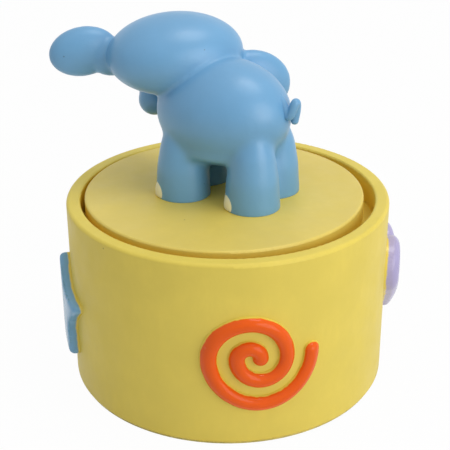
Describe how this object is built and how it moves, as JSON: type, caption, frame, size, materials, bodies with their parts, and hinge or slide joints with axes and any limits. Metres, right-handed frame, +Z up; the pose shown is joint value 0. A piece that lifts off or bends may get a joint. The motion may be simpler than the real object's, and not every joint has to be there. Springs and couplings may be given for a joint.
{
  "type": "revolving musical figurine",
  "caption": "Wind-up musical figurine: a painted drum with raised motifs, a recessed turntable and a standing elephant that revolves as the movement inside plays.",
  "frame": {"origin": "on the drum's axis, in the plane of the felt ring's underside that rests on the table", "axes": "+Z up along the drum's axis; -Y is the front of the drum, with the swirl; +X to its right"},
  "size_m": [0.1171, 0.1136, 0.1228],
  "materials": {
    "drum_paint": "satin yellow paint on cast resin",
    "disc_paint": "satin yellow paint on cast resin",
    "elephant_paint": "satin light blue paint on cast resin",
    "swirl_paint": "gloss orange paint",
    "star_paint": "gloss blue paint",
    "heart_paint": "gloss lavender paint",
    "flower_paint": "gloss coral paint",
    "nail_paint": "satin cream paint",
    "eye_paint": "gloss dark paint",
    "felt": "pressed wool felt",
    "plate_plastic": "moulded plastic",
    "nylon": "natural nylon",
    "steel": "plain steel",
    "blued_steel": "tempered spring steel",
    "cast_metal": "die-cast zinc",
    "brass": "turned brass",
    "key_metal": "pressed and plated"
  },
  "bodies": {
    "drum": {"drum_casing": "drum_paint", "felt_ring": "felt", "base_plate": "plate_plastic", "base_plate_screws": "steel", "relief_swirl": "swirl_paint", "relief_star": "star_paint", "relief_heart": "heart_paint", "relief_flower": "flower_paint", "spindle_bush": "nylon", "thrust_washer": "nylon", "click_spring": "blued_steel", "click_screw": "steel", "movement_bedplate": "cast_metal", "movement_screws": "steel", "cylinder_post": "brass", "gear_bracket": "brass", "bracket_screws": "steel", "comb": "steel", "comb_screws": "steel", "governor_bracket": "brass"},
    "turntable": {"turntable_disc": "disc_paint", "threaded_insert": "brass", "spindle": "steel", "spring_barrel": "brass", "barrel_cap": "brass", "mainspring": "blued_steel", "elephant_body": "elephant_paint", "elephant_head": "elephant_paint", "toenails": "nail_paint", "left_ear": "elephant_paint", "right_ear": "elephant_paint", "elephant_trunk": "elephant_paint", "eyes": "eye_paint", "elephant_tail": "elephant_paint"},
    "key": {"winding_key": "key_metal", "winding_arbor": "steel", "ratchet_wheel": "steel"},
    "cylinder": {"pin_cylinder": "brass", "cylinder_arbor": "steel", "cylinder_pinion": "brass", "cylinder_wheel": "brass"},
    "idler": {"idler_pinion": "steel", "idler_wheel": "brass"},
    "governor": {"governor_worm": "steel", "governor_fan": "brass"}
  },
  "joints": [
    {"name": "turntable_spin", "type": "hinge", "parent": "drum", "child": "turntable", "pos_m": [-0.0012, 0, 0.0648], "axis": [0, 0, 1], "continuous": true, "deforming": ["mainspring"]},
    {"name": "key_wind", "type": "hinge", "parent": "drum", "child": "key", "pos_m": [-0.0012, 0, 0.0066], "axis": [0, 0, 1], "continuous": true, "deforming": ["click_spring"]},
    {"name": "cylinder_spin", "type": "hinge", "parent": "drum", "child": "cylinder", "pos_m": [0.0184, 0, 0.02951], "axis": [1, 0, 0], "continuous": true},
    {"name": "idler_spin", "type": "hinge", "parent": "drum", "child": "idler", "pos_m": [0.03912, 0.014, 0.02951], "axis": [1, 0, 0], "continuous": true},
    {"name": "governor_spin", "type": "hinge", "parent": "drum", "child": "governor", "pos_m": [0.03492, 0.0214, 0.02951], "axis": [0, 0, 1], "continuous": true}
  ],
  "couplings": [
    {"joint": "cylinder_spin", "follows": "turntable_spin", "ratio": 3},
    {"joint": "idler_spin", "follows": "turntable_spin", "ratio": -7.5},
    {"joint": "governor_spin", "follows": "turntable_spin", "ratio": 135}
  ]
}
